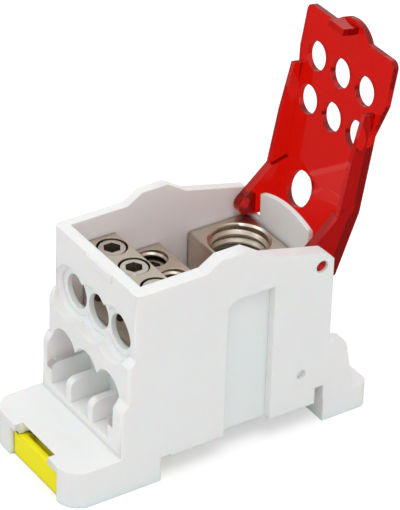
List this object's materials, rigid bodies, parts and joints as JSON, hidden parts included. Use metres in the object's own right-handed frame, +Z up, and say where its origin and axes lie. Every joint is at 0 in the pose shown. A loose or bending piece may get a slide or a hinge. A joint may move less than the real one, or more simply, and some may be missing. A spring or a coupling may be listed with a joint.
{
  "type": "power distribution block",
  "caption": "Single-pole distribution block for a 35 mm rail: white moulded base, metal terminal bar with set screws, hinged see-through red lid and yellow rail latch.",
  "frame": {"origin": "on the rail seat plane, in the middle of the housing's width and midway between the two feet", "axes": "+Z up from the rail, -Y towards the outgoing wires, +Y towards the incoming cable, X along the rail"},
  "size_m": [0.0284, 0.0691, 0.0757],
  "materials": {
    "white_moulding": "satin",
    "clear_red": "polished, see-through",
    "nickel_brass": "nickel plated, brushed",
    "plated_steel": "plated",
    "yellow_moulding": "satin"
  },
  "bodies": {
    "base": {"housing": "white_moulding", "terminal_bar": "nickel_brass"},
    "lid": {"cover": "clear_red"},
    "screw_1": {"clamp_screw_1": "plated_steel"},
    "screw_2": {"clamp_screw_2": "plated_steel"},
    "screw_3": {"clamp_screw_3": "plated_steel"},
    "screw_4": {"clamp_screw_4": "plated_steel"},
    "screw_5": {"clamp_screw_5": "plated_steel"},
    "screw_6": {"clamp_screw_6": "plated_steel"},
    "incoming_screw": {"main_screw": "plated_steel"},
    "latch": {"rail_clip": "yellow_moulding"}
  },
  "joints": [
    {"name": "lid_hinge", "type": "hinge", "parent": "base", "child": "lid", "pos_m": [0, 0.01601, 0.0304], "axis": [1, 0, 0], "range_deg": [0, 99.7]},
    {"name": "latch_slide", "type": "slide", "parent": "base", "child": "latch", "axis": [0, -1, 0], "range_m": [0, 0.0035], "stiffness_N_per_m": 800, "springref_m": -0.001},
    {"name": "clamp_1_travel", "type": "slide", "parent": "base", "child": "screw_1", "axis": [0, 0, 1], "range_m": [-0.0035, 0.0022]},
    {"name": "clamp_2_travel", "type": "slide", "parent": "base", "child": "screw_2", "axis": [0, 0, 1], "range_m": [-0.0035, 0.0022]},
    {"name": "clamp_3_travel", "type": "slide", "parent": "base", "child": "screw_3", "axis": [0, 0, 1], "range_m": [-0.0035, 0.0022]},
    {"name": "clamp_4_travel", "type": "slide", "parent": "base", "child": "screw_4", "axis": [0, 0, 1], "range_m": [-0.005, 0.0015]},
    {"name": "clamp_5_travel", "type": "slide", "parent": "base", "child": "screw_5", "axis": [0, 0, 1], "range_m": [-0.005, 0.0015]},
    {"name": "clamp_6_travel", "type": "slide", "parent": "base", "child": "screw_6", "axis": [0, 0, 1], "range_m": [-0.005, 0.0015]},
    {"name": "main_clamp_travel", "type": "slide", "parent": "base", "child": "incoming_screw", "axis": [0, 0, 1], "range_m": [-0.0045, 0.005]}
  ]
}
